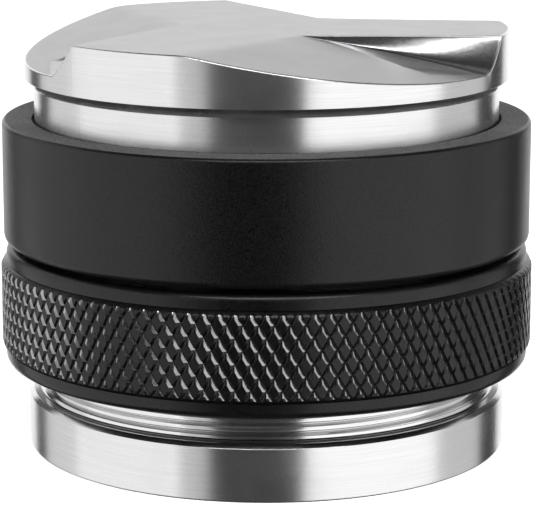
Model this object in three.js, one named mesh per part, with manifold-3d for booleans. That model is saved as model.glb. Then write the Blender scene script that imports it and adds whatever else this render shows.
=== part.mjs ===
// Dual-head coffee distributor and tamper for a 58 mm basket.
// Millimetres, +Z up. The tamping face lies on z = 0 and the three-bladed distributor faces up.
// A smooth sleeve and a knurled ring turn on right-hand threads and set the depth of each head.
import * as THREE from 'three';
import { mergeVertices } from 'three/addons/utils/BufferGeometryUtils.js';
import Module from 'manifold-3d';

const wasm = await Module();
wasm.setup();

// Driving dimensions
const ROUND_SEGMENTS = 72;
const HEAD_RADIUS = 29.17;
const TOTAL_HEIGHT = 50.87;
const THREAD_PITCH = 1.0;
const FIT_GAP = 0.3;
const SEAT_GAP = 0.05;
const CUT_MARGIN = 1;
const WELD_DISTANCE = 1e-5;

// One pitch of the thread, corner by corner: share of the thread depth and share of the pitch
const THREAD_SECTION = [[0, 0], [1, 0.32], [1, 0.5], [0, 0.82]];
const THREAD_SEGMENTS = 36;
const THREAD_RUN_OUT = 2;

// Tamper base: foot, threaded neck, plain barrel and a boss for the stud
const FOOT_WALL_TOP = 6.32;
const FOOT_CHAMFER = 0.5;
const FOOT_EDGE = 0.2;
const FOOT_FACE = FOOT_WALL_TOP + FOOT_CHAMFER;
const NECK_MAJOR_RADIUS = 27.4;
const NECK_THREAD_DEPTH = 0.55;
const NECK_MINOR_RADIUS = NECK_MAJOR_RADIUS - NECK_THREAD_DEPTH;
const NECK_THREAD_TOP = 13.8;
const NECK_BARREL_RADIUS = 26.6;
const NECK_TOP = 23.8;
const NECK_BORE_RADIUS = 23.5;
const FOOT_FLOOR = 6.0;

// Stud joint between the two heads
const BOSS_RADIUS = 9;
const STUD_RADIUS = 4;
const STUD_HOLE_RADIUS = STUD_RADIUS + FIT_GAP;
const STUD_LOW = 12.6;
const STUD_HIGH = 37.7;
const STUD_CHAMFER = 0.6;
const STUD_SEGMENTS = 24;
const WASHER_THICKNESS = 1.2;
const WASHER_RADIUS = 7.2;
const WASHER_SPLIT = 0.8;
const WASHER_SPLIT_LEAN = THREE.MathUtils.degToRad(36);
const WASHER_SPLIT_REACH = 4.8;
const DISC_RADIUS = 26;
const DISC_LOW = NECK_TOP + SEAT_GAP;
const DISC_THICKNESS = 2.6;
const DISC_HIGH = DISC_LOW + DISC_THICKNESS;

// Distributor head: blades, cap wall, underside bevel, smooth band and hollow barrel
const BAND_RADIUS = 28.1;
const CAP_BEVEL_HEIGHT = 1.07;
const BAND_TOP = 43.98;
const BAND_LOW = 38.3;
const CAP_FLOOR = 41.5;
const BARREL_RADIUS = 27.6;
const BARREL_BORE_RADIUS = 24;
const BARREL_LOW = DISC_HIGH + SEAT_GAP;

// Blades: each has a straight lip, a wall that spreads out towards the rim, a ramp that falls
// away from the blade before it, and a shallow pocket. Places on a blade are [along the lip,
// away from the lip], measured from the lip's inner end.
const FULL_TURN = 360;
const BLADE_COUNT = 3;
const LIP_OFFSET = 9.6;
const LIP_START = 3.9;
const RAMP_SLOPE = THREE.MathUtils.degToRad(11.2);
const RAMP_HEADING = THREE.MathUtils.degToRad(36);
const WALL_FOOT_START = 6;
const WALL_FOOT_END = 26;
const WALL_FOOT_WIDTH = 4.3;
const WALL_FOOT_DEPTH = 6;
const POCKET_OUTLINE = [[5.2, 1.9], [14.73, 9.17], [20.87, 5.09], [19.5, 3.6]];
const POCKET_LOWEST = [10.9, 5.3];
const POCKET_DEPTH = 0.6;
const CUTTER_SIZE = 120;

// Smooth sleeve around the distributor head
const SLEEVE_RADIUS = 32;
const SLEEVE_LOW = 25.3;
const SLEEVE_HIGH = 40.05;
const SLEEVE_LOW_FILLET = 1;
const SLEEVE_HIGH_FILLET = 0.6;
const SLEEVE_THREAD_TOP = 34.5;
const SLEEVE_BORE_RADIUS = BAND_RADIUS + FIT_GAP;
const SLEEVE_THREAD_RADIUS = BARREL_RADIUS + FIT_GAP;

// Knurled ring around the tamper neck
const KNURL_RADIUS = 32.4;
const KNURL_LOW = 12.4;
const KNURL_HIGH = 22.95;
const KNURL_BEVEL = 0.45;
const RING_BAND_RADIUS = 31.95;
const RING_SHOULDER_RADIUS = 31.75;
const RING_LOW = 10.5;
const RING_HIGH = 24.8;
const RING_LOW_FILLET = 0.9;
const RING_HIGH_FILLET = 0.5;
const RING_BORE_RADIUS = NECK_MAJOR_RADIUS + FIT_GAP;

// Friction O-rings and the grooves that hold them
const UPPER_CORD_RADIUS = 0.5;
const UPPER_CORD_CENTRE_RADIUS = 28.75;
const UPPER_CORD_HEIGHT = 39;
const LOWER_CORD_RADIUS = 0.85;
const LOWER_CORD_CENTRE_RADIUS = 27.7;
const LOWER_CORD_HEIGHT = 21;
const GROOVE_GAP = 0.1;
const CORD_SIDES = 8;
const CORD_SEGMENTS = 48;
const ARC_STEPS = 3;

const steel = new THREE.MeshStandardMaterial({ color: 0xb9b9bb, roughness: 0.32, metalness: 1 });
const turnedSteel = new THREE.MeshStandardMaterial({ color: 0xc2c2c4, roughness: 0.28, metalness: 1 });
const blackAnodised = new THREE.MeshStandardMaterial({ color: 0x1b1b1d, roughness: 0.5, metalness: 0.3 });
const blackKnurled = new THREE.MeshStandardMaterial({ color: 0x121214, roughness: 0.35, metalness: 0.4 });
const zincPlated = new THREE.MeshStandardMaterial({ color: 0xa8aaad, roughness: 0.4, metalness: 1 });
const aluminium = new THREE.MeshStandardMaterial({ color: 0xc7c9cb, roughness: 0.45, metalness: 1 });
const blackRubber = new THREE.MeshStandardMaterial({ color: 0x101010, roughness: 0.8, metalness: 0 });

// A closed mesh as a solid that can be joined and cut.
function solidOf(geometry) {
  const bare = geometry.clone();
  bare.deleteAttribute('normal');
  bare.deleteAttribute('uv');
  const merged = mergeVertices(bare, WELD_DISTANCE);
  const corners = merged.index.array;
  const kept = [];
  for (let i = 0; i < corners.length; i += 3) {
    const [a, b, c] = [corners[i], corners[i + 1], corners[i + 2]];
    if (a !== b && b !== c && c !== a) kept.push(a, b, c);
  }
  return new wasm.Manifold(new wasm.Mesh({
    numProp: 3,
    vertProperties: new Float32Array(merged.attributes.position.array),
    triVerts: new Uint32Array(kept),
  }));
}

function geometryOf(solid) {
  const { vertProperties, triVerts } = solid.getMesh();
  const geometry = new THREE.BufferGeometry();
  geometry.setAttribute('position', new THREE.BufferAttribute(vertProperties, 3));
  geometry.setIndex(new THREE.BufferAttribute(triVerts, 1));
  geometry.computeVertexNormals();
  return geometry;
}

// Turns a profile of [radius, height] points about the Z axis; the outer side runs upwards.
function turned(profile, segments = ROUND_SEGMENTS) {
  const points = profile.map(([radius, height]) => new THREE.Vector2(radius, height));
  return new THREE.LatheGeometry(points, segments).rotateX(Math.PI / 2);
}

function closed(profile) {
  return [...profile, profile[0]];
}

// Points of a quarter round about [radius, height], from one angle to another.
function arc(radius, height, size, fromDegrees, toDegrees, steps = ARC_STEPS) {
  return Array.from({ length: steps + 1 }, (_, step) => {
    const angle = THREE.MathUtils.degToRad(fromDegrees + (toDegrees - fromDegrees) * step / steps);
    return [radius + size * Math.cos(angle), height + size * Math.sin(angle)];
  });
}

function cylinderSolid(radius, low, high, segments = ROUND_SEGMENTS) {
  return solidOf(turned([[0, low], [radius, low], [radius, high], [0, high]], segments));
}

// A rod with a trapezoid helical thread. Its rows of vertices follow the helix, so the flanks
// stay straight; both ends close on the axis and are trimmed square at low and high.
function threadedRod(majorRadius, minorRadius, low, high) {
  const perTurn = THREAD_SECTION.length;
  const turns = Math.ceil((high - low) / THREAD_PITCH) + THREAD_RUN_OUT;
  const rows = turns * perTurn;
  const start = low - THREAD_PITCH;
  const positions = [];
  for (let row = 0; row < rows + perTurn; row += 1) {
    const [depth, fraction] = THREAD_SECTION[row % perTurn];
    const radius = THREE.MathUtils.lerp(minorRadius, majorRadius, depth);
    const lift = start + (Math.floor(row / perTurn) + fraction) * THREAD_PITCH;
    for (let side = 0; side < THREAD_SEGMENTS; side += 1) {
      const share = side / THREAD_SEGMENTS;
      const angle = 2 * Math.PI * share;
      positions.push(radius * Math.cos(angle), radius * Math.sin(angle), lift + share * THREAD_PITCH);
    }
  }
  const vertex = (row, side) => (side === THREAD_SEGMENTS
    ? (row + perTurn) * THREAD_SEGMENTS
    : row * THREAD_SEGMENTS + side);
  const indices = [];
  for (let row = 0; row < rows - 1; row += 1) {
    for (let side = 0; side < THREAD_SEGMENTS; side += 1) {
      const [a, b] = [vertex(row, side), vertex(row, side + 1)];
      const [c, d] = [vertex(row + 1, side + 1), vertex(row + 1, side)];
      indices.push(a, b, c, a, c, d);
    }
  }
  closeEnd(indices, positions, edgeLoop(vertex, 0, perTurn), start, true);
  closeEnd(indices, positions, edgeLoop(vertex, rows - 1, perTurn), start + turns * THREAD_PITCH, false);
  const geometry = new THREE.BufferGeometry();
  geometry.setAttribute('position', new THREE.BufferAttribute(new Float32Array(positions), 3));
  geometry.setIndex(indices);
  return solidOf(geometry).intersect(cylinderSolid(majorRadius + CUT_MARGIN, low, high));
}

// The open edge of a helical surface: once around one row, then back down the step at its seam.
function edgeLoop(vertex, row, perTurn) {
  const around = Array.from({ length: THREAD_SEGMENTS }, (_, side) => vertex(row, side));
  const step = Array.from({ length: perTurn }, (_, index) => vertex(row + perTurn - index, 0));
  return [...around, ...step];
}

function closeEnd(indices, positions, loop, height, facesDown) {
  const centre = positions.length / 3;
  positions.push(0, 0, height);
  loop.forEach((corner, index) => {
    const next = loop[(index + 1) % loop.length];
    indices.push(...(facesDown ? [centre, next, corner] : [centre, corner, next]));
  });
}

// A point below the top of the head, on a blade's ramp or a given depth beneath it.
function rampPoint([along, away], deeper = 0) {
  const run = along * Math.cos(RAMP_HEADING) + away * Math.sin(RAMP_HEADING);
  return [along, -away, -run * Math.tan(RAMP_SLOPE) - deeper];
}

// Everything on the ramp's upper side, bounded by the upright plane under one blade's lip.
function rampCutter() {
  const above = new THREE.BoxGeometry(CUTTER_SIZE, CUTTER_SIZE, CUTTER_SIZE)
    .translate(CUTTER_SIZE / 2, 0, CUTTER_SIZE / 2)
    .rotateY(RAMP_SLOPE)
    .rotateZ(-RAMP_HEADING);
  const beforeLip = new THREE.BoxGeometry(2 * CUTTER_SIZE, CUTTER_SIZE, 2 * CUTTER_SIZE)
    .translate(0, -CUTTER_SIZE / 2, 0);
  return solidOf(above).intersect(solidOf(beforeLip));
}

// The sloping foot of the wall: nothing at the lip's inner end, the whole wall at the rim.
function wallFoot() {
  const outer = [WALL_FOOT_END, WALL_FOOT_WIDTH];
  return wasm.Manifold.hull([
    rampPoint([WALL_FOOT_START, 0]),
    [WALL_FOOT_START, 0, -WALL_FOOT_DEPTH],
    [WALL_FOOT_END, 0, 0],
    [WALL_FOOT_END, 0, -WALL_FOOT_DEPTH],
    rampPoint(outer),
    rampPoint(outer, WALL_FOOT_DEPTH),
  ]);
}

// The shallow three-sided pocket in the ramp, in front of the wall.
function pocketCutter() {
  return wasm.Manifold.hull([
    ...POCKET_OUTLINE.map((place) => rampPoint(place)),
    rampPoint(POCKET_LOWEST, POCKET_DEPTH),
    rampPoint(POCKET_LOWEST, -TOTAL_HEIGHT),
  ]);
}

function distributorHead() {
  let head = solidOf(turned([
    [0, BARREL_LOW + WASHER_THICKNESS + SEAT_GAP],
    [BOSS_RADIUS, BARREL_LOW + WASHER_THICKNESS + SEAT_GAP],
    [BOSS_RADIUS, CAP_FLOOR],
    [BARREL_BORE_RADIUS, CAP_FLOOR],
    [BARREL_BORE_RADIUS, BARREL_LOW],
    [BARREL_RADIUS, BARREL_LOW],
    [BARREL_RADIUS, BAND_LOW],
    [BAND_RADIUS, BAND_LOW],
    [BAND_RADIUS, BAND_TOP],
    [HEAD_RADIUS, BAND_TOP + CAP_BEVEL_HEIGHT],
    [HEAD_RADIUS, TOTAL_HEIGHT],
    [0, TOTAL_HEIGHT],
  ]));
  const blade = rampCutter().add(pocketCutter()).subtract(wallFoot());
  const cutter = blade.translate([LIP_START, -LIP_OFFSET, TOTAL_HEIGHT]);
  for (let turn = 0; turn < BLADE_COUNT; turn += 1) {
    head = head.subtract(cutter.rotate([0, 0, turn * FULL_TURN / BLADE_COUNT]));
  }
  const studHole = cylinderSolid(STUD_HOLE_RADIUS, 0, STUD_HIGH + FIT_GAP, STUD_SEGMENTS);
  return geometryOf(head.subtract(studHole));
}

function tamperBase() {
  const foot = solidOf(turned([
    [0, 0],
    [HEAD_RADIUS - FOOT_EDGE, 0],
    [HEAD_RADIUS, FOOT_EDGE],
    [HEAD_RADIUS, FOOT_WALL_TOP],
    [HEAD_RADIUS - FOOT_CHAMFER, FOOT_FACE],
    [NECK_MINOR_RADIUS, FOOT_FACE],
    [NECK_MINOR_RADIUS, NECK_THREAD_TOP],
    [NECK_BARREL_RADIUS, NECK_THREAD_TOP],
    [NECK_BARREL_RADIUS, NECK_TOP],
    [0, NECK_TOP],
  ]));
  const thread = threadedRod(NECK_MAJOR_RADIUS, NECK_MINOR_RADIUS, FOOT_FACE, NECK_THREAD_TOP);
  const hollow = solidOf(turned(closed([
    [BOSS_RADIUS, FOOT_FLOOR],
    [NECK_BORE_RADIUS, FOOT_FLOOR],
    [NECK_BORE_RADIUS, NECK_TOP + CUT_MARGIN],
    [BOSS_RADIUS, NECK_TOP + CUT_MARGIN],
  ])));
  const cutTop = NECK_TOP + CUT_MARGIN;
  const bossTop = cylinderSolid(BOSS_RADIUS + CUT_MARGIN, NECK_TOP - WASHER_THICKNESS - SEAT_GAP, cutTop);
  const studHole = cylinderSolid(STUD_HOLE_RADIUS, STUD_LOW - FIT_GAP, cutTop, STUD_SEGMENTS);
  return geometryOf(foot.add(thread).subtract(hollow).subtract(bossTop).subtract(studHole));
}

function centreDisc() {
  return turned(closed([
    [STUD_HOLE_RADIUS, DISC_LOW],
    [DISC_RADIUS, DISC_LOW],
    [DISC_RADIUS, DISC_HIGH],
    [STUD_HOLE_RADIUS, DISC_HIGH],
  ]));
}

function centreStud() {
  return turned([
    [0, STUD_LOW],
    [STUD_RADIUS - STUD_CHAMFER, STUD_LOW],
    [STUD_RADIUS, STUD_LOW + STUD_CHAMFER],
    [STUD_RADIUS, STUD_HIGH - STUD_CHAMFER],
    [STUD_RADIUS - STUD_CHAMFER, STUD_HIGH],
    [0, STUD_HIGH],
  ], STUD_SEGMENTS);
}

// A spring lock washer: a flat ring with one slanting cut.
function lockWasher(low) {
  const ring = solidOf(turned(closed([
    [STUD_HOLE_RADIUS, low],
    [WASHER_RADIUS, low],
    [WASHER_RADIUS, low + WASHER_THICKNESS],
    [STUD_HOLE_RADIUS, low + WASHER_THICKNESS],
  ]), STUD_SEGMENTS));
  const slit = new THREE.BoxGeometry(WASHER_RADIUS, WASHER_SPLIT, WASHER_SPLIT_REACH)
    .rotateX(WASHER_SPLIT_LEAN)
    .translate((WASHER_RADIUS + STUD_RADIUS) / 2, 0, low + WASHER_THICKNESS / 2);
  return geometryOf(ring.subtract(solidOf(slit)));
}

// The smooth sleeve: rounded rims, a threaded lower bore and an O-ring groove near the top.
function depthSleeve() {
  const grooveLow = UPPER_CORD_HEIGHT - UPPER_CORD_RADIUS - GROOVE_GAP;
  const grooveHigh = UPPER_CORD_HEIGHT + UPPER_CORD_RADIUS + GROOVE_GAP;
  const grooveRadius = UPPER_CORD_CENTRE_RADIUS + UPPER_CORD_RADIUS + GROOVE_GAP;
  const lowCentre = [SLEEVE_RADIUS - SLEEVE_LOW_FILLET, SLEEVE_LOW + SLEEVE_LOW_FILLET];
  const highCentre = [SLEEVE_RADIUS - SLEEVE_HIGH_FILLET, SLEEVE_HIGH - SLEEVE_HIGH_FILLET];
  return turned(closed([
    [SLEEVE_THREAD_RADIUS, SLEEVE_LOW],
    ...arc(...lowCentre, SLEEVE_LOW_FILLET, -90, 0),
    ...arc(...highCentre, SLEEVE_HIGH_FILLET, 0, 90),
    [SLEEVE_BORE_RADIUS, SLEEVE_HIGH],
    [SLEEVE_BORE_RADIUS, grooveHigh],
    [grooveRadius, grooveHigh],
    [grooveRadius, grooveLow],
    [SLEEVE_BORE_RADIUS, grooveLow],
    [SLEEVE_BORE_RADIUS, SLEEVE_THREAD_TOP],
    [SLEEVE_THREAD_RADIUS, SLEEVE_THREAD_TOP],
  ]));
}

// The knurled ring at the crest height of its knurl, with plain rims above and below.
function depthRing() {
  const grooveLow = LOWER_CORD_HEIGHT - LOWER_CORD_RADIUS - GROOVE_GAP;
  const grooveHigh = LOWER_CORD_HEIGHT + LOWER_CORD_RADIUS + GROOVE_GAP;
  const grooveRadius = LOWER_CORD_CENTRE_RADIUS + LOWER_CORD_RADIUS + GROOVE_GAP;
  const lowCentre = [RING_BAND_RADIUS - RING_LOW_FILLET, RING_LOW + RING_LOW_FILLET];
  const highCentre = [RING_SHOULDER_RADIUS - RING_HIGH_FILLET, RING_HIGH - RING_HIGH_FILLET];
  return turned(closed([
    [RING_BORE_RADIUS, RING_LOW],
    ...arc(...lowCentre, RING_LOW_FILLET, -90, 0),
    [RING_BAND_RADIUS, KNURL_LOW],
    [KNURL_RADIUS, KNURL_LOW + KNURL_BEVEL],
    [KNURL_RADIUS, KNURL_HIGH - KNURL_BEVEL],
    [RING_SHOULDER_RADIUS, KNURL_HIGH],
    ...arc(...highCentre, RING_HIGH_FILLET, 0, 90),
    [RING_BORE_RADIUS, RING_HIGH],
    [RING_BORE_RADIUS, grooveHigh],
    [grooveRadius, grooveHigh],
    [grooveRadius, grooveLow],
    [RING_BORE_RADIUS, grooveLow],
  ]));
}

function frictionRing(centreRadius, height, cordRadius) {
  const section = arc(centreRadius, height, cordRadius, 0, FULL_TURN, CORD_SIDES);
  return turned(section, CORD_SEGMENTS);
}

const assembly = new THREE.Group();

function addPart(name, geometry, material) {
  const mesh = new THREE.Mesh(geometry, material);
  mesh.name = name;
  assembly.add(mesh);
}

addPart('tamper_base', tamperBase(), turnedSteel);
addPart('distributor_head', distributorHead(), steel);
addPart('centre_disc', centreDisc(), aluminium);
addPart('centre_stud', centreStud(), zincPlated);
addPart('lower_lock_washer', lockWasher(NECK_TOP - WASHER_THICKNESS), zincPlated);
addPart('upper_lock_washer', lockWasher(BARREL_LOW), zincPlated);
addPart('depth_sleeve', depthSleeve(), blackAnodised);
addPart('depth_ring', depthRing(), blackKnurled);
addPart('upper_friction_ring',
  frictionRing(UPPER_CORD_CENTRE_RADIUS, UPPER_CORD_HEIGHT, UPPER_CORD_RADIUS), blackRubber);
addPart('lower_friction_ring',
  frictionRing(LOWER_CORD_CENTRE_RADIUS, LOWER_CORD_HEIGHT, LOWER_CORD_RADIUS), blackRubber);

export default assembly;
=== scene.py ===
import math

import bmesh
import bpy
from mathutils import Matrix, Vector


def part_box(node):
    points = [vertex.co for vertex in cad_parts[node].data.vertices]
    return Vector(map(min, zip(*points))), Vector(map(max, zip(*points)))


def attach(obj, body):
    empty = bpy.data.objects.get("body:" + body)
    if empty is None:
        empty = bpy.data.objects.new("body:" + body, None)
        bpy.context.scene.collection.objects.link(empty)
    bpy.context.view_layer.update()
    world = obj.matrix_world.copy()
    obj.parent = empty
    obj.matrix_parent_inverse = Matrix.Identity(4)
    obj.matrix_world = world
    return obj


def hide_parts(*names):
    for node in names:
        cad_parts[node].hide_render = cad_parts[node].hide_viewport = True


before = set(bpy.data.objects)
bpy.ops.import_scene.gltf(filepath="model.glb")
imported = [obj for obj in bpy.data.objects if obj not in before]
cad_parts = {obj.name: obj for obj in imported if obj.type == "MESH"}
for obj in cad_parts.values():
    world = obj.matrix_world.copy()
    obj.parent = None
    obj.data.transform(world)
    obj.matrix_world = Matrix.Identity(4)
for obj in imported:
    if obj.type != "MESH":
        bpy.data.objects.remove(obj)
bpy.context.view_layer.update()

# Dual-head coffee distributor and tamper. Metres, +Z up, the tamping face on z = 0.
# Outer sizes come from the CAD boxes; edge radii, grooves and surface detail are named here.
MM = 0.001


def node_box(node):
    """Outer radius, lowest and highest height of a CAD node."""
    low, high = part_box(node)
    return high.x, low.z, high.z


FOOT_RADIUS, FOOT_LOW, NECK_TOP = node_box("tamper_base")
HEAD_RADIUS, BARREL_LOW, HEAD_TOP = node_box("distributor_head")
SLEEVE_RADIUS, SLEEVE_LOW, SLEEVE_HIGH = node_box("depth_sleeve")
KNURL_RADIUS, RING_LOW, RING_HIGH = node_box("depth_ring")
DISC_RADIUS, DISC_LOW, DISC_HIGH = node_box("centre_disc")
STUD_RADIUS, STUD_LOW, STUD_HIGH = node_box("centre_stud")

# Tamper base
FOOT_WALL_TOP = 6.32 * MM
FOOT_CHAMFER = 0.5 * MM
FOOT_EDGE = 0.25 * MM
PAINT_MARGIN = 0.02 * MM
COLLAR_HEIGHT = 0.55 * MM
COLLAR_FILLET = 0.45 * MM
COLLAR_RADIUS = 27.5 * MM
NECK_THREAD_TOP = 13.8 * MM
NECK_MAJOR_RADIUS = 27.4 * MM
NECK_MINOR_RADIUS = 26.85 * MM
NECK_BARREL_RADIUS = 26.6 * MM
NECK_BORE_RADIUS = 23.5 * MM
FOOT_FLOOR = 6.0 * MM
THREAD_PITCH = 1.0 * MM
THREAD_SEGMENTS = 192
THREAD_CREST = 0.21
THREAD_ROOT = 0.04
THREAD_STEPS = 3
CREST_CROWN = 0.06
ROOT_CROWN = 0.1
THREAD_ROOTED = 0.5 * MM
THREAD_SUNK = 0.05 * MM
THREAD_END_CHAMFER = 0.1 * MM
THREAD_RUN_OUT = 1.5
TRIM_MARGIN = 1.0 * MM
FIT_GAP = 0.3 * MM

# Stud joint
BOSS_RADIUS = 9.0 * MM
STUD_HOLE_RADIUS = STUD_RADIUS + FIT_GAP
STUD_PITCH = 1.25 * MM
STUD_THREAD_DEPTH = 0.7 * MM
STUD_CHAMFER = 0.7 * MM
STUD_SEGMENTS = 64
SOCKET_RADIUS = 2.31 * MM
SOCKET_DEPTH = 4.0 * MM
SOCKET_SIDES = 6
WASHER_RECESS = 1.25 * MM
WASHER_EDGE = 0.15 * MM
WASHER_STEPS = 72
WASHER_FILLET_STEPS = 3
WASHER_GAP = math.radians(5)
WASHER_SLANT = math.radians(9)
DISC_RELIEF = 0.25 * MM
DISC_RIM_WIDTH = 3.2 * MM
DISC_HUB_WIDTH = 1.0 * MM

# Distributor head
BAND_RADIUS = 28.1 * MM
BAND_LOW = 38.3 * MM
BAND_TOP = 43.98 * MM
CAP_BEVEL_HEIGHT = 1.07 * MM
CAP_FLOOR = 41.5 * MM
BARREL_RADIUS = 27.6 * MM
BARREL_BORE_RADIUS = 24.0 * MM
BLADE_COUNT = 3
LIP_OFFSET = 9.6 * MM
LIP_START = 3.9 * MM
RAMP_FALL = math.tan(math.radians(11.2))
RAMP_HEADING = math.radians(36)
CREASE_BLEND = 1.4 * MM
CREASE_TAPER = 3 * CREASE_BLEND
LEAST_BLEND = 0.02 * MM
LIP_EDGE = 0.12 * MM
LIP_EDGE_SHARE = 0.3
RIM_EDGE = 0.22 * MM
BEVEL_EDGE = 0.06 * MM
FACING_DOWN = 0.3
SCOOP_WIDTH = 4.7 * MM
SCOOP_LENGTH = 22.0 * MM
SCOOP_GROWTH = 2.3
SCOOP_CURVE = 0.9
POCKET_TIP = (5.2 * MM, 1.9 * MM)
POCKET_CORNER = (14.73 * MM, 9.17 * MM)
POCKET_END = (20.87 * MM, 5.09 * MM)
POCKET_SLOPES = (0.16, 0.8, 0.12)
POCKET_LEAST = 0.01 * MM

# Sleeve
SLEEVE_LOW_FILLET = 1.0 * MM
SLEEVE_HIGH_FILLET = 0.6 * MM
SLEEVE_BORE_EDGE = 0.12 * MM
SLEEVE_FILLET_STEPS = 8
SLEEVE_THREAD_TOP = 34.5 * MM
SLEEVE_BORE_RADIUS = BAND_RADIUS + FIT_GAP
SLEEVE_THREAD_RADIUS = BARREL_RADIUS + FIT_GAP

# Ring
KNURL_LOW = 12.4 * MM
KNURL_HIGH = 22.95 * MM
KNURL_DEPTH = 0.28 * MM
KNURL_CROSS_DEPTH = 0.18 * MM
KNURL_COUNT = 114
KNURL_ROWS = 3.5
KNURL_STEPS = 8
FLANK_SIDEWAYS = 0.25
FLANK_UPWARDS = 0.12
KNURL_STEP = 0.1 * MM
KNURL_STEP_CHAMFER = 0.06 * MM
KNURL_LOW_SLOPE = 1.2
KNURL_HIGH_SLOPE = 1.5
RING_BAND_RADIUS = 31.95 * MM
RING_SHOULDER_RADIUS = 31.75 * MM
RING_LOW_FILLET = 0.9 * MM
RING_HIGH_FILLET = 1.0 * MM
RING_FILLET_STEPS = 4
RING_BORE_RADIUS = NECK_MAJOR_RADIUS + FIT_GAP

# O-rings and their grooves
UPPER_CORD = (28.75 * MM, 39.0 * MM, 0.5 * MM)
LOWER_CORD = (27.7 * MM, 21.0 * MM, 0.85 * MM)
GROOVE_GAP = 0.1 * MM
GROOVE_EDGE = 0.12 * MM
CORD_SEGMENTS = 240
CORD_SIDES = 24

# Broken edges and inner fillets that several pieces share
FINE_EDGE = 0.05 * MM
CRISP_EDGE = 0.1 * MM
SMALL_EDGE = 0.2 * MM
LOW_EDGE = 0.25 * MM
SOFT_EDGE = 0.3 * MM
INNER_FILLET = 0.6 * MM
EDGE_STEPS = 5

ROUND_SEGMENTS = 288
SMOOTH_ANGLE = math.radians(32)
WELD_DISTANCE = 0.0005 * MM


# ---------------------------------------------------------------- mesh making

def corner_arc(before, corner, after, radius, steps):
    """Points of the arc that rounds one corner of an outline."""
    to_before = (Vector(before) - Vector(corner)).normalized()
    to_after = (Vector(after) - Vector(corner)).normalized()
    half = to_before.angle(to_after) / 2
    centre = Vector(corner) + (to_before + to_after).normalized() * (radius / math.sin(half))
    reach = radius / math.tan(half)
    start = Vector(corner) + to_before * reach - centre
    end = Vector(corner) + to_after * reach - centre
    turn = start.angle_signed(end)
    first = math.atan2(start.y, start.x)
    return [(centre.x + radius * math.cos(first - turn * k / steps),
             centre.y + radius * math.sin(first - turn * k / steps)) for k in range(steps + 1)]


def rounded(outline, steps=EDGE_STEPS):
    """A closed outline of (radius, height[, edge radius]) with its corners rounded."""
    points = []
    for index, corner in enumerate(outline):
        if len(corner) == 2:
            points.append(corner)
            continue
        before, after = outline[index - 1][:2], outline[(index + 1) % len(outline)][:2]
        points += corner_arc(before, corner[:2], after, corner[2], steps)
    return points


def circle_outline(radius, height, size, sides=CORD_SIDES):
    """The round section of an O-ring, anticlockwise."""
    return [(radius + size * math.cos(2 * math.pi * k / sides),
             height + size * math.sin(2 * math.pi * k / sides)) for k in range(sides)]


def join_rings(rings, closed):
    """Faces between consecutive rings of vertex indices; a ring of one is a pole."""
    faces = []
    pairs = list(zip(rings, rings[1:] + rings[:1])) if closed else list(zip(rings, rings[1:]))
    for lower, upper in pairs:
        count = max(len(lower), len(upper))
        for k in range(count if count > 1 else 0):
            a, b = lower[k % len(lower)], lower[(k + 1) % len(lower)]
            c, d = upper[(k + 1) % len(upper)], upper[k % len(upper)]
            corners = []
            for corner in (a, b, c, d):
                if corner not in corners:
                    corners.append(corner)
            faces.append(corners)
    return faces


def make_piece(name, points, faces, material, body, nodes):
    """A mesh piece that rides on a body and stands for the named CAD nodes."""
    mesh = bpy.data.meshes.new(name)
    mesh.from_pydata(points, [], faces)
    mesh.validate()
    piece = bpy.data.objects.new(name, mesh)
    bpy.context.scene.collection.objects.link(piece)
    finish_piece(piece, material, body, nodes)
    return piece


def finish_piece(piece, material, body, nodes):
    """Shading, first material, body and CAD nodes of a piece."""
    mesh = piece.data
    mesh.polygons.foreach_set("use_smooth", [True] * len(mesh.polygons))
    mesh.set_sharp_from_angle(angle=SMOOTH_ANGLE)
    if not mesh.materials:
        mesh.materials.append(material)
    normals = piece.modifiers.new("weighted_normals", "WEIGHTED_NORMAL")
    normals.keep_sharp = True
    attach(piece, body)
    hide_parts(*nodes)


def turned_rings(outline, segments):
    """Points and rings of an outline turned about Z; the outer side runs upwards."""
    points, rings = [], []
    for radius, height in outline:
        count = segments if radius > 0 else 1
        rings.append(list(range(len(points), len(points) + count)))
        for k in range(count):
            angle = 2 * math.pi * k / segments
            points.append((radius * math.cos(angle), radius * math.sin(angle), height))
    return points, rings


def turned(outline, segments=ROUND_SEGMENTS):
    points, rings = turned_rings(outline, segments)
    return points, join_rings(rings, closed=True)


def thread_section(major, minor):
    """One pitch of a thread as (radius, share of the pitch), with a crowned crest and root."""
    depth = major - minor
    section = []
    for step in range(THREAD_STEPS + 1):
        swing = math.pi * (step / THREAD_STEPS - 0.5)
        crown = CREST_CROWN * depth * (1 - math.cos(swing))
        section.append((major - crown, 0.5 + THREAD_CREST * math.sin(swing)))
    for step in range(THREAD_STEPS + 1):
        swing = math.pi * (step / THREAD_STEPS - 0.5)
        crown = ROOT_CROWN * depth * (1 - math.cos(swing))
        section.append((minor + crown, 1 + THREAD_ROOT * math.sin(swing)))
    return section


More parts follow.
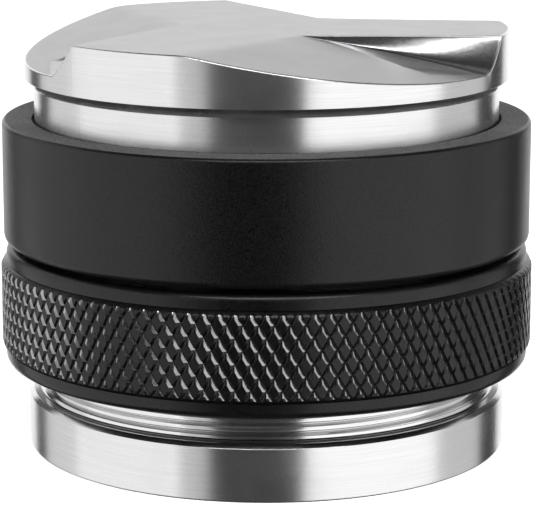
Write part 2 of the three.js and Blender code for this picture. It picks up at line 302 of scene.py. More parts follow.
def threaded_rod(major, minor, pitch, low, high, segments):
    """A closed rod with a right-hand helical thread that runs past low and high."""
    section = thread_section(major, minor)
    per_turn = len(section)
    turns = math.ceil((high - low) / pitch) + math.ceil(2 * THREAD_RUN_OUT)
    start = low - THREAD_RUN_OUT * pitch
    rows = turns * per_turn
    points = []
    for row in range(rows + per_turn):
        radius, share = section[row % per_turn]
        lift = start + (row // per_turn + share) * pitch
        for side in range(segments):
            turn = side / segments
            angle = 2 * math.pi * turn
            points.append((radius * math.cos(angle), radius * math.sin(angle), lift + turn * pitch))

    def vertex(row, side):
        return (row + per_turn) * segments if side == segments else row * segments + side

    faces = []
    for row in range(rows - 1):
        for side in range(segments):
            faces.append((vertex(row, side), vertex(row, side + 1),
                          vertex(row + 1, side + 1), vertex(row + 1, side)))
    for row, height, downwards in ((0, start, True), (rows - 1, start + (turns + 1) * pitch, False)):
        loop = [vertex(row, side) for side in range(segments)]
        loop += [vertex(row + per_turn - k, 0) for k in range(per_turn)]
        centre = len(points)
        points.append((0, 0, height))
        for here, there in zip(loop, loop[1:] + loop[:1]):
            faces.append((centre, there, here) if downwards else (centre, here, there))
    return points, faces


def bare_object(name, points, faces):
    mesh = bpy.data.meshes.new(name)
    mesh.from_pydata(points, [], faces)
    mesh.validate()
    solid = bpy.data.objects.new(name, mesh)
    bpy.context.scene.collection.objects.link(solid)
    return solid


def combine(target, tool, operation):
    """Applies one exact boolean to target and deletes the tool."""
    modifier = target.modifiers.new("boolean", "BOOLEAN")
    modifier.operation, modifier.solver, modifier.object = operation, "EXACT", tool
    evaluated = target.evaluated_get(bpy.context.evaluated_depsgraph_get())
    result = bpy.data.meshes.new_from_object(evaluated)
    welded = bmesh.new()
    welded.from_mesh(result)
    bmesh.ops.remove_doubles(welded, verts=welded.verts, dist=WELD_DISTANCE)
    welded.to_mesh(result)
    welded.free()
    target.modifiers.clear()
    target.data = result
    bpy.data.objects.remove(tool)
    return target


# ---------------------------------------------------------------- materials

def new_material(name):
    """An empty Principled material and its nodes, links and shader."""
    material = bpy.data.materials.new(name)
    material.use_nodes = True
    nodes, links = material.node_tree.nodes, material.node_tree.links
    return material, nodes, links, nodes["Principled BSDF"]


def turned_coordinates(nodes, links, around, across):
    """Coordinates for marks that run round the Z axis: long around, fine across."""
    place = nodes.new("ShaderNodeTexCoord")
    split = nodes.new("ShaderNodeSeparateXYZ")
    links.new(place.outputs["Object"], split.inputs[0])
    flat = nodes.new("ShaderNodeCombineXYZ")
    links.new(split.outputs["X"], flat.inputs["X"])
    links.new(split.outputs["Y"], flat.inputs["Y"])
    length = nodes.new("ShaderNodeVectorMath")
    length.operation = "LENGTH"
    links.new(flat.outputs[0], length.inputs[0])
    unit = nodes.new("ShaderNodeVectorMath")
    unit.operation = "NORMALIZE"
    links.new(flat.outputs[0], unit.inputs[0])
    spread = nodes.new("ShaderNodeVectorMath")
    spread.operation = "SCALE"
    spread.inputs["Scale"].default_value = around
    links.new(unit.outputs[0], spread.inputs[0])
    rise = nodes.new("ShaderNodeCombineXYZ")
    lift = nodes.new("ShaderNodeMath")
    lift.operation = "MULTIPLY"
    lift.inputs[1].default_value = across
    links.new(split.outputs["Z"], lift.inputs[0])
    links.new(lift.outputs[0], rise.inputs["Z"])
    vector = nodes.new("ShaderNodeVectorMath")
    vector.operation = "ADD"
    links.new(spread.outputs[0], vector.inputs[0])
    links.new(rise.outputs[0], vector.inputs[1])
    depth = nodes.new("ShaderNodeMath")
    depth.operation = "MULTIPLY"
    depth.inputs[1].default_value = across
    links.new(length.outputs["Value"], depth.inputs[0])
    return vector.outputs[0], depth.outputs[0]


def turned_noise(nodes, links, around, across, detail=3.0):
    """Noise drawn out into fine lines round the axis."""
    vector, depth = turned_coordinates(nodes, links, around, across)
    noise = nodes.new("ShaderNodeTexNoise")
    noise.noise_dimensions = "4D"
    noise.inputs["Scale"].default_value = 1.0
    noise.inputs["Detail"].default_value = detail
    links.new(vector, noise.inputs["Vector"])
    links.new(depth, noise.inputs["W"])
    return noise.outputs["Fac"]


def grain_noise(nodes, links, size, detail=2.0):
    """Even noise with features of about the given size in metres."""
    place = nodes.new("ShaderNodeTexCoord")
    noise = nodes.new("ShaderNodeTexNoise")
    noise.inputs["Scale"].default_value = 1 / size
    noise.inputs["Detail"].default_value = detail
    links.new(place.outputs["Object"], noise.inputs["Vector"])
    return noise.outputs["Fac"]


NOISE_LOW = 0.3
NOISE_HIGH = 0.7


def remap(nodes, links, value, low, high):
    """Noise stretched over the range low to high."""
    ranged = nodes.new("ShaderNodeMapRange")
    ranged.interpolation_type = "SMOOTHSTEP"
    ranged.inputs["From Min"].default_value = NOISE_LOW
    ranged.inputs["From Max"].default_value = NOISE_HIGH
    ranged.inputs["To Min"].default_value = low
    ranged.inputs["To Max"].default_value = high
    links.new(value, ranged.inputs["Value"])
    return ranged.outputs["Result"]


def tint(nodes, links, value, dark, light):
    """A colour between dark and light by a noise value."""
    mix = nodes.new("ShaderNodeMix")
    mix.data_type = "RGBA"
    mix.inputs["A"].default_value = (*dark, 1)
    mix.inputs["B"].default_value = (*light, 1)
    links.new(remap(nodes, links, value, 0, 1), mix.inputs["Factor"])
    return mix.outputs["Result"]


def bump(nodes, links, height, strength, distance, below=None):
    relief = nodes.new("ShaderNodeBump")
    relief.inputs["Strength"].default_value = strength
    relief.inputs["Distance"].default_value = distance
    links.new(height, relief.inputs["Height"])
    if below is not None:
        links.new(below, relief.inputs["Normal"])
    return relief.outputs["Normal"]


def turned_steel(name, dark, light, smoothness, anisotropy):
    """Stainless steel brushed or turned round the axis."""
    material, nodes, links, shader = new_material(name)
    fine = turned_noise(nodes, links, around=3.0, across=1 / (0.16 * MM))
    broad = turned_noise(nodes, links, around=1.2, across=1 / (0.9 * MM), detail=1.0)
    stain = grain_noise(nodes, links, 6 * MM)
    links.new(tint(nodes, links, fine, dark, light), shader.inputs["Base Color"])
    links.new(remap(nodes, links, stain, *smoothness), shader.inputs["Roughness"])
    lines = bump(nodes, links, fine, 0.2, 0.004 * MM)
    links.new(bump(nodes, links, broad, 0.2, 0.008 * MM, lines), shader.inputs["Normal"])
    shader.inputs["Metallic"].default_value = 1.0
    shader.inputs["Anisotropic"].default_value = anisotropy
    shader.inputs["Anisotropic Rotation"].default_value = 0.25
    tangent = nodes.new("ShaderNodeTangent")
    tangent.direction_type, tangent.axis = "RADIAL", "Z"
    links.new(tangent.outputs[0], shader.inputs["Tangent"])
    return material


def blasted_steel(name):
    """Fine bead-blasted stainless steel."""
    material, nodes, links, shader = new_material(name)
    grain = grain_noise(nodes, links, 0.14 * MM)
    cloud = grain_noise(nodes, links, 5 * MM)
    links.new(tint(nodes, links, cloud, (0.62, 0.62, 0.63), (0.66, 0.66, 0.665)), shader.inputs["Base Color"])
    links.new(remap(nodes, links, grain, 0.42, 0.5), shader.inputs["Roughness"])
    links.new(bump(nodes, links, grain, 0.2, 0.01 * MM), shader.inputs["Normal"])
    shader.inputs["Metallic"].default_value = 1.0
    return material


def milled_steel(name, dark, light, smoothness):
    """The smoother, streaked steel inside the scoops."""
    material, nodes, links, shader = new_material(name)
    streaks = turned_noise(nodes, links, around=14.0, across=1 / (0.5 * MM))
    grain = grain_noise(nodes, links, 0.2 * MM)
    links.new(tint(nodes, links, streaks, dark, light), shader.inputs["Base Color"])
    links.new(remap(nodes, links, grain, *smoothness), shader.inputs["Roughness"])
    links.new(bump(nodes, links, streaks, 0.15, 0.004 * MM), shader.inputs["Normal"])
    shader.inputs["Metallic"].default_value = 1.0
    return material


def black_anodised(name, dark, light, smoothness, grain_size, grain_depth, specular):
    """Bead-blasted, black anodised aluminium."""
    material, nodes, links, shader = new_material(name)
    grain = grain_noise(nodes, links, grain_size, detail=3.0)
    cloud = grain_noise(nodes, links, 7 * MM)
    links.new(tint(nodes, links, grain, dark, light), shader.inputs["Base Color"])
    links.new(remap(nodes, links, cloud, *smoothness), shader.inputs["Roughness"])
    links.new(bump(nodes, links, grain, 0.5, grain_depth), shader.inputs["Normal"])
    shader.inputs["Specular IOR Level"].default_value = specular
    return material


def highlight_flank_material(name):
    """Dark metallic grey for the knurl flanks that face the light: a painted highlight that stands for the
    glints those flanks catch.
    """
    material, nodes, links, shader = new_material(name)
    grain = grain_noise(nodes, links, 0.25 * MM)
    cloud = grain_noise(nodes, links, 2 * MM)
    colour = tint(nodes, links, cloud, (0.24, 0.24, 0.245), (0.32, 0.32, 0.325))
    links.new(colour, shader.inputs["Base Color"])
    links.new(remap(nodes, links, grain, 0.2, 0.3), shader.inputs["Roughness"])
    links.new(bump(nodes, links, grain, 0.2, 0.01 * MM), shader.inputs["Normal"])
    shader.inputs["Metallic"].default_value = 1.0
    return material


def zinc_plate(name):
    """Dull zinc plating with a faint spangle."""
    material, nodes, links, shader = new_material(name)
    spangle = grain_noise(nodes, links, 1.2 * MM)
    fine = grain_noise(nodes, links, 0.1 * MM)
    links.new(tint(nodes, links, spangle, (0.36, 0.37, 0.39), (0.5, 0.5, 0.5)), shader.inputs["Base Color"])
    links.new(remap(nodes, links, spangle, 0.34, 0.5), shader.inputs["Roughness"])
    links.new(bump(nodes, links, fine, 0.2, 0.01 * MM), shader.inputs["Normal"])
    shader.inputs["Metallic"].default_value = 1.0
    return material


def black_rubber(name):
    """Matt black rubber for the O-rings."""
    material, nodes, links, shader = new_material(name)
    grain = grain_noise(nodes, links, 0.12 * MM)
    cloud = grain_noise(nodes, links, 3 * MM)
    colour = tint(nodes, links, cloud, (0.01, 0.01, 0.01), (0.022, 0.022, 0.021))
    links.new(colour, shader.inputs["Base Color"])
    links.new(remap(nodes, links, grain, 0.6, 0.75), shader.inputs["Roughness"])
    links.new(bump(nodes, links, grain, 0.3, 0.01 * MM), shader.inputs["Normal"])
    return material


def pale_floor(name):
    """Smooth, almost white studio floor."""
    material, nodes, links, shader = new_material(name)
    cloud = grain_noise(nodes, links, 80 * MM)
    links.new(tint(nodes, links, cloud, (0.93, 0.93, 0.93), (0.95, 0.95, 0.95)), shader.inputs["Base Color"])
    shader.inputs["Roughness"].default_value = 0.9
    shader.inputs["Specular IOR Level"].default_value = 0.0
    shader.inputs["Emission Color"].default_value = (1, 1, 1, 1)
    shader.inputs["Emission Strength"].default_value = 0.55
    return material


STEEL_WALL = turned_steel("brushed_stainless", (0.61, 0.61, 0.613), (0.65, 0.65, 0.652), (0.25, 0.29), 0.7)
STEEL_THREAD = turned_steel("turned_bright_stainless", (0.6, 0.6, 0.603), (0.66, 0.66, 0.66),
                            (0.14, 0.2), 0.2)
STEEL_TOP = blasted_steel("blasted_stainless")
# The scooped walls' steel is a smoother milled finish, with its colour darkened to about half that of bare
# steel as painted shade for the dark reflection these walls show.
STEEL_SCOOP_PAINTED_SHADE = milled_steel("milled_stainless_painted_shade", (0.32, 0.32, 0.325), (0.38, 0.38, 0.385), (0.2, 0.26))
STEEL_POCKET = milled_steel("milled_pocket", (0.6, 0.6, 0.605), (0.66, 0.66, 0.665), (0.36, 0.42))
ALUMINIUM = turned_steel("turned_aluminium", (0.55, 0.55, 0.56), (0.68, 0.68, 0.69), (0.34, 0.46), 0.4)
BLACK_SLEEVE = black_anodised("black_sleeve", (0.0003, 0.0003, 0.0006), (0.0065, 0.0065, 0.007),
                              (0.29, 0.33), 0.18 * MM, 0.04 * MM, 0.28)
# The sleeve's top annulus: the same black anodising painted a lighter grey, a painted sheen for the light the
# top catches at a grazing angle.
SLEEVE_TOP_PAINTED_SHEEN = black_anodised("black_rim_painted_sheen", (0.05, 0.05, 0.051), (0.15, 0.15, 0.152),
                           (0.55, 0.65), 0.18 * MM, 0.04 * MM, 0.1)
BLACK_KNURL = black_anodised("black_knurl", (0.0003, 0.0003, 0.0006), (0.0065, 0.0065, 0.007),
                             (0.24, 0.32), 0.2 * MM, 0.02 * MM, 0.28)
# Painted highlight: the knurl flanks that face the light get a lighter metallic colour.
KNURL_PAINTED_HIGHLIGHT = highlight_flank_material("painted_highlight_flank")
ZINC = zinc_plate("zinc_plated_steel")
RUBBER = black_rubber("black_rubber")
FLOOR = pale_floor("pale_floor")


# ---------------------------------------------------------------- tamper base

def make_tamper_base():
    """Foot, threaded neck and boss; the thread is a true helix cut off square at both ends."""
    foot_face = FOOT_WALL_TOP + FOOT_CHAMFER
    collar_top = foot_face + COLLAR_HEIGHT
    boss_top = NECK_TOP - WASHER_RECESS
    body_outline = rounded([
        (0, FOOT_LOW),
        (FOOT_RADIUS, FOOT_LOW, FOOT_EDGE),
        (FOOT_RADIUS, FOOT_WALL_TOP, CRISP_EDGE),
        (FOOT_RADIUS - FOOT_CHAMFER, foot_face, CRISP_EDGE),
        (COLLAR_RADIUS, foot_face, COLLAR_FILLET),
        (COLLAR_RADIUS, collar_top, FINE_EDGE),
        (NECK_BARREL_RADIUS, collar_top),
        (NECK_BARREL_RADIUS, NECK_TOP, SMALL_EDGE),
        (NECK_BORE_RADIUS, NECK_TOP, SMALL_EDGE),
        (NECK_BORE_RADIUS, FOOT_FLOOR, INNER_FILLET),
        (BOSS_RADIUS, FOOT_FLOOR, INNER_FILLET),
        (BOSS_RADIUS, boss_top, SMALL_EDGE),
        (STUD_HOLE_RADIUS, boss_top, SMALL_EDGE),
        (STUD_HOLE_RADIUS, STUD_LOW - FIT_GAP),
        (0, STUD_LOW - FIT_GAP),
    ])
    base = bare_object("tamper_foot_and_neck", *turned(body_outline))
    thread = bare_object("thread", *threaded_rod(
        NECK_MAJOR_RADIUS, NECK_MINOR_RADIUS, THREAD_PITCH, collar_top, NECK_THREAD_TOP, THREAD_SEGMENTS))
    thread_low, thread_high = collar_top - THREAD_SUNK, NECK_THREAD_TOP - THREAD_END_CHAMFER
    trim_outline = [
        (NECK_MINOR_RADIUS - THREAD_ROOTED, thread_low),
        (NECK_MAJOR_RADIUS + TRIM_MARGIN, thread_low),
        (NECK_MAJOR_RADIUS + TRIM_MARGIN, thread_high),
        (NECK_MAJOR_RADIUS, thread_high),
        (NECK_MINOR_RADIUS - THREAD_ROOTED, NECK_THREAD_TOP),
    ]
    combine(thread, bare_object("thread_trim", *turned(trim_outline)), "INTERSECT")
    combine(base, thread, "UNION")
    base.data.materials.clear()
    for material in (STEEL_WALL, STEEL_THREAD):
        base.data.materials.append(material)
    for face in base.data.polygons:
        face.material_index = 1 if face.center.z > FOOT_WALL_TOP - PAINT_MARGIN else 0
    finish_piece(base, STEEL_WALL, "core", ["tamper_base"])


# ---------------------------------------------------------------- distributor head

def ramp_depth(along, away):
    """How far the ramp lies below the top; its crease softens away from the lip."""
    run = along * math.cos(RAMP_HEADING) + away * math.sin(RAMP_HEADING)
    blend = CREASE_BLEND * min(1.0, max(away, 0.0) / CREASE_TAPER) + LEAST_BLEND
    if run <= -blend:
        return 0.0
    if run < blend:
        return RAMP_FALL * (run + blend) ** 2 / (4 * blend)
    return RAMP_FALL * run


def scoop_width(along):
    """Width of the scooped wall below the lip, which widens towards the rim."""
    return SCOOP_WIDTH * (max(along, 0.0) / SCOOP_LENGTH) ** SCOOP_GROWTH


def inside_edge(along, away, start, end):
    """Distance of a place from a pocket edge, positive on the lip's side of it."""
    edge = (Vector(end) - Vector(start)).normalized()
    return (along - start[0]) * edge.y - (away - start[1]) * edge.x


def pocket_depth(along, away):
    """Extra depth of the groove in front of the scooped wall."""
    from_wall, from_front, from_end = POCKET_SLOPES
    return max(0.0, min(
        (away - scoop_width(along)) * from_wall,
        inside_edge(along, away, POCKET_TIP, POCKET_CORNER) * from_front,
        inside_edge(along, away, POCKET_CORNER, POCKET_END) * from_end))


def floor_depth(along, away):
    return ramp_depth(along, away) + pocket_depth(along, away)


LEAST_STEP = 0.01 * MM
EDGE_COLUMNS = 4
FILLET_COLUMNS = 18
RAMP_COLUMNS = 130
LIP_COLUMNS = EDGE_COLUMNS + 1 + FILLET_COLUMNS
RIM_SEARCH_STEPS = 8


def lip_section(column, along):
    """One point of the lip's cross-section: distance from the lip line and depth."""
    width = scoop_width(along) + LEAST_STEP
    edge = min(LIP_EDGE, LIP_EDGE_SHARE * floor_depth(along, width)) + LEAST_STEP
    if column < EDGE_COLUMNS:
        swing = math.pi / 2 * column / (EDGE_COLUMNS - 1)
        return edge * math.sin(swing), edge * (1 - math.cos(swing))
    share = (column - EDGE_COLUMNS + 1) / (FILLET_COLUMNS + 1)
    away = edge + width * share
    drop = max(floor_depth(along, away) - edge, 0.0)
    return away, edge + drop * math.sin(math.pi / 2 * share) ** SCOOP_CURVE


def lip_point(column, share, radius):
    """A point on the lip's cross-section, share of the way from the lip's start to the rim."""
    end = SCOOP_LENGTH
    for _ in range(RIM_SEARCH_STEPS):
        away = lip_section(column, end)[0]
        end = math.sqrt(radius ** 2 - (LIP_OFFSET + away) ** 2) - LIP_START
    along = share * end
    away, depth = lip_section(column, along)
    return LIP_START + along, -(LIP_OFFSET + away), depth


def blade_point(column, share, radius):
    """A point of one blade's third of the top, in the lip's own position."""
    if column < LIP_COLUMNS:
        return lip_point(column, share, radius)
    ahead = lip_point(LIP_COLUMNS - 1, share, radius)
    behind = Matrix.Rotation(-2 * math.pi / BLADE_COUNT, 2) @ Vector(lip_point(0, share, radius)[:2])
    blend = (column - LIP_COLUMNS + 1) / (RAMP_COLUMNS + 1)
    first = math.atan2(ahead[1], ahead[0])
    turn = (first - math.atan2(behind.y, behind.x)) % (2 * math.pi)
    angle = first - turn * blend
    reach = math.hypot(ahead[0], ahead[1]) * (1 - blend) + behind.length * blend
    x, y = reach * math.cos(angle), reach * math.sin(angle)
    return x, y, floor_depth(x - LIP_START, -y - LIP_OFFSET)


TOP_ROWS = 80
TOP_ROW_SPACING = 0.9
EDGE_ROWS = 4


def head_columns():
    """Every column of the head: its blade and its place in that blade's third, clockwise."""
    return [(blade, column) for blade in range(BLADE_COUNT) for column in range(LIP_COLUMNS + RAMP_COLUMNS)]


def head_ring(share, radius, drop=0.0, height=None):
    """One ring of points round the head, on the blades or at a given height."""
    ring = []
    for blade, column in head_columns():
        x, y, depth = blade_point(column, share, radius)
        turn = -2 * math.pi * blade / BLADE_COUNT
        place = Matrix.Rotation(turn, 2) @ Vector((x, y))
        ring.append((place.x, place.y, HEAD_TOP - depth - drop if height is None else height))
    return ring


def make_distributor_head():
    """Blades, rounded rim, cap wall, bevel, band and hollow barrel as one closed surface."""
    rings = [[(0.0, 0.0, HEAD_TOP)]]
    inner = HEAD_RADIUS - RIM_EDGE
    rings += [head_ring((row / TOP_ROWS) ** TOP_ROW_SPACING, inner) for row in range(TOP_ROWS + 1)]
    for row in range(1, EDGE_ROWS + 1):
        swing = math.pi / 2 * row / EDGE_ROWS
        rings.append(head_ring(1.0, inner + RIM_EDGE * math.sin(swing), RIM_EDGE * (1 - math.cos(swing))))
    directions = [Vector(point[:2]).normalized() for point in rings[-1]]
    top_rings = len(rings)
    boss_low = BARREL_LOW + WASHER_RECESS
    lower = rounded([
        (HEAD_RADIUS, BAND_TOP + CAP_BEVEL_HEIGHT, CRISP_EDGE),
        (BAND_RADIUS, BAND_TOP, BEVEL_EDGE),
        (BAND_RADIUS, BAND_LOW, CRISP_EDGE),
        (BARREL_RADIUS, BAND_LOW),
        (BARREL_RADIUS, BARREL_LOW, SMALL_EDGE),
        (BARREL_BORE_RADIUS, BARREL_LOW, SMALL_EDGE),
        (BARREL_BORE_RADIUS, CAP_FLOOR, INNER_FILLET),
        (BOSS_RADIUS, CAP_FLOOR, INNER_FILLET),
        (BOSS_RADIUS, boss_low, SMALL_EDGE),
        (STUD_HOLE_RADIUS, boss_low, SMALL_EDGE),
        (STUD_HOLE_RADIUS, STUD_HIGH + FIT_GAP),
        (0, STUD_HIGH + FIT_GAP),
        (0, HEAD_TOP),
        (HEAD_RADIUS, HEAD_TOP),
    ])[:-2]
    for radius, height in lower:
        if radius > 0:
            rings.append([(d.x * radius, d.y * radius, height) for d in directions])
        else:
            rings.append([(0.0, 0.0, height)])
    points = [point for ring in rings for point in ring]
    starts, total = [], 0
    for ring in rings:
        starts.append(list(range(total, total + len(ring))))
        total += len(ring)
    faces = join_rings(starts, closed=False)
    head = bare_object("distributor_head_bladed", points, faces)
    for material in (STEEL_TOP, STEEL_WALL, STEEL_SCOOP_PAINTED_SHADE, STEEL_POCKET, STEEL_THREAD):
        head.data.materials.append(material)
    paint_head(head.data, top_rings)
    finish_piece(head, STEEL_TOP, "core", ["distributor_head"])


def paint_head(mesh, top_rings):
    """Blasted top, brushed walls, bright bevel and milled scoops and pockets, face by face; the scooped walls
    get a darkened steel colour as painted shade.
    """
    top, wall, scoop, pocket, bright = range(len(mesh.materials))
    per_ring = len(head_columns())
    for face in mesh.polygons:
        ring = face.index // per_ring
        blade, column = divmod(face.index % per_ring, LIP_COLUMNS + RAMP_COLUMNS)
        if ring >= top_rings - EDGE_ROWS - 1:
            on_bevel = BAND_TOP < face.center.z < BAND_TOP + CAP_BEVEL_HEIGHT
            face.material_index = bright if on_bevel and face.normal.z < -FACING_DOWN else wall
            continue
        place = Matrix.Rotation(2 * math.pi * blade / BLADE_COUNT, 2) @ Vector(face.center[:2])
        in_pocket = pocket_depth(place.x - LIP_START, -place.y - LIP_OFFSET) > POCKET_LEAST
        on_wall = 1 < column < LIP_COLUMNS
        face.material_index = top
        if ring > 0 and (on_wall or in_pocket):
            # The scooped walls take the darkened steel, painted shade; the pockets keep the ordinary steel
            # tone.
            face.material_index = scoop if on_wall else pocket


# ---------------------------------------------------------------- sleeve, ring and O-rings

def groove(cord, bore):
    """The four corners of an O-ring groove cut outwards from a bore, top corner first."""
    radius, height, size = cord
    half = size + GROOVE_GAP
    deep = radius + half
    return [
        (bore, height + half),
        (deep, height + half, GROOVE_EDGE),
        (deep, height - half, GROOVE_EDGE),
        (bore, height - half),
    ]


def make_depth_sleeve():
    outline = rounded([
        (SLEEVE_THREAD_RADIUS, SLEEVE_LOW, LOW_EDGE),
        (SLEEVE_RADIUS, SLEEVE_LOW, SLEEVE_LOW_FILLET),
        (SLEEVE_RADIUS, SLEEVE_HIGH, SLEEVE_HIGH_FILLET),
        (SLEEVE_BORE_RADIUS, SLEEVE_HIGH, SLEEVE_BORE_EDGE),
        *groove(UPPER_CORD, SLEEVE_BORE_RADIUS),
        (SLEEVE_BORE_RADIUS, SLEEVE_THREAD_TOP),
        (SLEEVE_THREAD_RADIUS, SLEEVE_THREAD_TOP, CRISP_EDGE),
    ], steps=SLEEVE_FILLET_STEPS)
    points, faces = turned(outline)
    sleeve = make_piece("smooth_depth_sleeve", points, faces, BLACK_SLEEVE,
                        "sleeve", ["depth_sleeve"])
    # The top annulus gets the lighter copy of the black anodising: painted sheen.
    sleeve.data.materials.append(SLEEVE_TOP_PAINTED_SHEEN)
    for face in sleeve.data.polygons:
        face.material_index = 1 if face.center.z > SLEEVE_HIGH - FINE_EDGE else 0


def knurl_drop(place, rising, falling):
    """Depth share of a groove at a place between 0 and KNURL_STEPS, by the width of its two flanks."""
    return max(0.0, 1 - place / rising, 1 - (KNURL_STEPS - place) / falling)


def knurl_radius(column, row):
    """Radius of the knurl at a lattice place: flat-topped diamonds between two sets of grooves."""
    main = knurl_drop((column + row) % KNURL_STEPS, 1, 2)
    cross = knurl_drop((column - row) % KNURL_STEPS, 1, 1)
    return KNURL_RADIUS - max(KNURL_DEPTH * main, KNURL_CROSS_DEPTH * cross)


def make_depth_ring():
    """The knurled ring as one closed surface; the knurl's cells are split along its grooves."""
    segments = KNURL_COUNT * KNURL_STEPS
    knurl_rows = round(KNURL_ROWS * KNURL_STEPS)
    low_radius, high_radius = RING_BAND_RADIUS - KNURL_STEP, RING_SHOULDER_RADIUS - KNURL_STEP
    outer = rounded([
        (RING_BORE_RADIUS, RING_LOW, SOFT_EDGE),
        (RING_BAND_RADIUS, RING_LOW, RING_LOW_FILLET),
        (RING_BAND_RADIUS, KNURL_LOW - KNURL_STEP_CHAMFER),
        (low_radius, KNURL_LOW),
        (high_radius, KNURL_HIGH),
        (RING_SHOULDER_RADIUS, KNURL_HIGH + KNURL_STEP_CHAMFER),
        (RING_SHOULDER_RADIUS, RING_HIGH, RING_HIGH_FILLET),
        (RING_BORE_RADIUS, RING_HIGH, SOFT_EDGE),
        *groove(LOWER_CORD, RING_BORE_RADIUS),
    ], steps=RING_FILLET_STEPS)
    split = outer.index((high_radius, KNURL_HIGH))
    pitch = (KNURL_HIGH - KNURL_LOW) / knurl_rows
    points, rings = turned_rings(outer[:split], segments)
    first_knurl = len(rings) - 1
    for row in range(1, knurl_rows):
        height = KNURL_LOW + row * pitch
        slope_low = low_radius + row * pitch * KNURL_LOW_SLOPE
        slope_high = high_radius + (knurl_rows - row) * pitch * KNURL_HIGH_SLOPE
        rings.append(list(range(len(points), len(points) + segments)))
        for column in range(segments):
            radius = min(knurl_radius(column, row), slope_low, slope_high)
            angle = 2 * math.pi * column / segments
            points.append((radius * math.cos(angle), radius * math.sin(angle), height))
    more_points, more_rings = turned_rings(outer[split:], segments)
    shift = len(points)
    points += more_points
    rings += [[index + shift for index in ring] for ring in more_rings]
    faces = join_rings(rings[:first_knurl + 1], closed=False)
    faces += knurl_faces(rings[first_knurl:first_knurl + knurl_rows + 1], segments)
    faces += join_rings(rings[first_knurl + knurl_rows:] + rings[:1], closed=False)
    ring = make_piece("knurled_depth_ring", points, faces, BLACK_KNURL, "ring", ["depth_ring"])
    # Second slot: the painted highlight for the flanks that face the light.
    ring.data.materials.append(KNURL_PAINTED_HIGHLIGHT)
    paint_knurl_highlights(ring.data)


def paint_knurl_highlights(mesh):
    """Paints a highlight on the long flanks that face up and to the right: they get the brighter metallic
    material because of the way they face the light.
    """
    for face in mesh.polygons:
        if face.center.z < KNURL_LOW or face.center.z > KNURL_HIGH:
            continue
        outward = Vector((face.center.x, face.center.y, 0)).normalized()
        sideways = Vector((0, 0, 1)).cross(outward)
        leaning = face.normal.dot(sideways) > FLANK_SIDEWAYS and face.normal.z > FLANK_UPWARDS
        face.material_index = 1 if leaning else 0


def knurl_faces(rings, segments):
    """Triangles of the knurl, each cell split along the groove or facet that crosses it."""
    faces = []
    for row, (lower, upper) in enumerate(zip(rings, rings[1:])):
        for column in range(segments):
            ahead = (column + 1) % segments
            a, b, c, d = lower[column], lower[ahead], upper[ahead], upper[column]
            one = ((column + row + 1) / KNURL_STEPS) % 1
            other = ((column - row) / KNURL_STEPS) % 1
            if abs(one - 0.5) >= abs(other - 0.5):
                faces += [(a, b, d), (b, c, d)]
            else:
                faces += [(a, b, c), (a, c, d)]
    return faces


def make_friction_ring(name, cord, body, node):
    points, faces = turned(circle_outline(*cord), CORD_SEGMENTS)
    make_piece(name, points, faces, RUBBER, body, [node])


# ---------------------------------------------------------------- stud joint

def make_centre_stud():
    """A threaded stud with chamfered ends and a hexagon socket in the upper one."""
    minor = STUD_RADIUS - STUD_THREAD_DEPTH
    outside = STUD_RADIUS + TRIM_MARGIN
    stud = bare_object("threaded_centre_stud", *threaded_rod(
        STUD_RADIUS, minor, STUD_PITCH, STUD_LOW, STUD_HIGH, STUD_SEGMENTS))
    ends = rounded([
        (0, STUD_LOW),
        (minor, STUD_LOW),
        (STUD_RADIUS, STUD_LOW + STUD_CHAMFER),
        (outside, STUD_LOW + STUD_CHAMFER),
        (outside, STUD_HIGH - STUD_CHAMFER),
        (STUD_RADIUS, STUD_HIGH - STUD_CHAMFER),
        (minor, STUD_HIGH),
        (0, STUD_HIGH),
    ])
    combine(stud, bare_object("stud_ends", *turned(ends, STUD_SEGMENTS)), "INTERSECT")
    socket_low, socket_high = STUD_HIGH - SOCKET_DEPTH, STUD_HIGH + TRIM_MARGIN
    socket = [(0, socket_low), (SOCKET_RADIUS, socket_low), (SOCKET_RADIUS, socket_high), (0, socket_high)]
    combine(stud, bare_object("stud_socket", *turned(socket, SOCKET_SIDES)), "DIFFERENCE")
    finish_piece(stud, ZINC, "core", ["centre_stud"])


def make_centre_disc():
    """The turned disc between the heads, with rounded edges and a shallow relief on each face."""
    rim, hub = DISC_RADIUS - DISC_RIM_WIDTH, BOSS_RADIUS + DISC_HUB_WIDTH
    outline = rounded([
        (STUD_HOLE_RADIUS, DISC_LOW, SMALL_EDGE),
        (hub, DISC_LOW, FINE_EDGE),
        (hub, DISC_LOW + DISC_RELIEF),
        (rim, DISC_LOW + DISC_RELIEF),
        (rim, DISC_LOW, FINE_EDGE),
        (DISC_RADIUS, DISC_LOW, SOFT_EDGE),
        (DISC_RADIUS, DISC_HIGH, SOFT_EDGE),
        (rim, DISC_HIGH, FINE_EDGE),
        (rim, DISC_HIGH - DISC_RELIEF),
        (hub, DISC_HIGH - DISC_RELIEF),
        (hub, DISC_HIGH, FINE_EDGE),
        (STUD_HOLE_RADIUS, DISC_HIGH, SMALL_EDGE),
    ])
    points, faces = turned(outline)
    make_piece("turned_centre_disc", points, faces, ALUMINIUM, "core", ["centre_disc"])


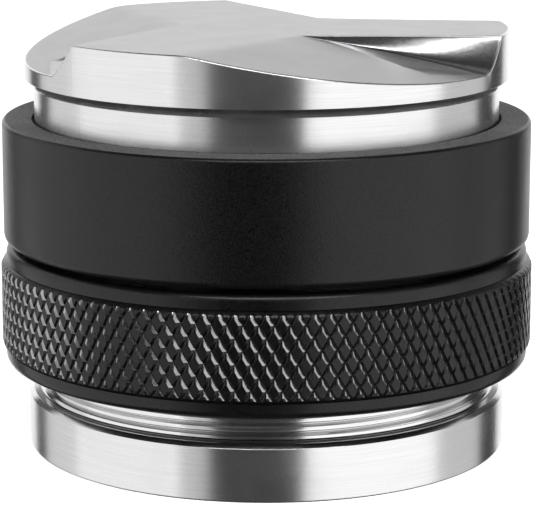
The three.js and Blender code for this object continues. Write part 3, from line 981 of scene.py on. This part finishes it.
def make_lock_washer(name, node):
    """A split spring washer: a rounded section swept almost once round, with slanting ends."""
    outer, low, high = node_box(node)
    section = rounded([
        (STUD_HOLE_RADIUS, low, WASHER_EDGE),
        (outer, low, WASHER_EDGE),
        (outer, high, WASHER_EDGE),
        (STUD_HOLE_RADIUS, high, WASHER_EDGE),
    ], steps=WASHER_FILLET_STEPS)
    points, rings = [], []
    for step in range(WASHER_STEPS + 1):
        rings.append(list(range(len(points), len(points) + len(section))))
        for radius, height in section:
            lean = WASHER_SLANT * ((height - low) / (high - low) - 0.5)
            angle = WASHER_GAP + (2 * math.pi - 2 * WASHER_GAP) * step / WASHER_STEPS + lean
            points.append((radius * math.cos(angle), radius * math.sin(angle), height))
    faces = [list(reversed(face)) for face in join_rings(rings, closed=False)]
    faces += [rings[0], list(reversed(rings[-1]))]
    make_piece(name, points, faces, ZINC, "core", [node])


# ---------------------------------------------------------------- stage

FLOOR_REACH = 6.0


def make_floor():
    corners = [(-1, -1), (1, -1), (1, 1), (-1, 1)]
    points = [(FLOOR_REACH * x, FLOOR_REACH * y, 0) for x, y in corners]
    floor = bare_object("studio_floor", points, [range(len(points))])
    floor.data.materials.append(FLOOR)
    floor.visible_glossy = False


# Name, azimuth in degrees, height, distance, width, tall and radiance of each light
SOFTBOXES = [
    ("far_left_softbox", -116, 0.0, 0.9, 0.5, 1.6, 0.9),
    ("left_softbox", -72, 0.0, 0.9, 1.0, 1.6, 1.28),
    ("near_left_softbox", -36, 0.0, 1.1, 0.34, 1.6, 0.75),
    ("right_softbox", 53, 0.0, 0.9, 1.26, 1.6, 1.5),
    ("far_right_softbox", 106, 0.0, 1.1, 0.7, 1.6, 0.75),
    ("back_panel", 180, 0.05, 1.2, 1.5, 1.3, 1.2),
    ("high_front_softbox", 0, 1.0, 0.75, 1.2, 0.5, 1.25),
    ("key_light", 6, 0.98, 0.6, 1.05, 0.2, 8.0),
    ("ceiling", 180, 1.3, 1.2, 2.8, 1.7, 0.22),
]
LIGHTS_AIM = (0, 0, 0.025)
WORLD_STRENGTH = 0.06


def add_softbox(name, azimuth, height, distance, width, tall, radiance):
    """A rectangular area light; azimuth 0 is the camera's side and grows towards +X."""
    data = bpy.data.lights.new(name, "AREA")
    data.shape, data.size, data.size_y = "RECTANGLE", width, tall
    data.energy = radiance * math.pi * width * tall
    light = bpy.data.objects.new(name, data)
    bpy.context.scene.collection.objects.link(light)
    turn = math.radians(azimuth)
    light.location = (distance * math.sin(turn), -distance * math.cos(turn), height)
    facing = Vector(LIGHTS_AIM) - light.location
    light.rotation_euler = facing.to_track_quat("-Z", "Y").to_euler()


def make_lights():
    for softbox in SOFTBOXES:
        add_softbox(*softbox)
    world = bpy.data.worlds.new("studio")
    world.use_nodes = True
    background = world.node_tree.nodes["Background"]
    background.inputs["Color"].default_value = (1, 1, 1, 1)
    background.inputs["Strength"].default_value = WORLD_STRENGTH
    bpy.context.scene.world = world


# The camera fitted to the photo: millimetres of sensor and lens, metres, degrees below level
SENSOR_WIDTH = 36
LENS = 170.33
CAMERA_PLACE = (0, -0.30307, 0.08691)
CAMERA_TILT = 11.92


def make_camera():
    data = bpy.data.cameras.new("camera")
    data.sensor_width, data.lens = SENSOR_WIDTH, LENS
    camera = bpy.data.objects.new("camera", data)
    camera.location = CAMERA_PLACE
    camera.rotation_euler = (math.radians(90 - CAMERA_TILT), 0, 0)
    bpy.context.scene.collection.objects.link(camera)
    bpy.context.scene.camera = camera


make_tamper_base()
make_distributor_head()
make_depth_sleeve()
make_depth_ring()
make_friction_ring("upper_o_ring", UPPER_CORD, "upper_seal", "upper_friction_ring")
make_friction_ring("lower_o_ring", LOWER_CORD, "lower_seal", "lower_friction_ring")
make_centre_stud()
make_centre_disc()
make_lock_washer("lower_split_washer", "lower_lock_washer")
make_lock_washer("upper_split_washer", "upper_lock_washer")
make_floor()
make_lights()
make_camera()
bpy.context.scene.view_settings.view_transform = "Standard"
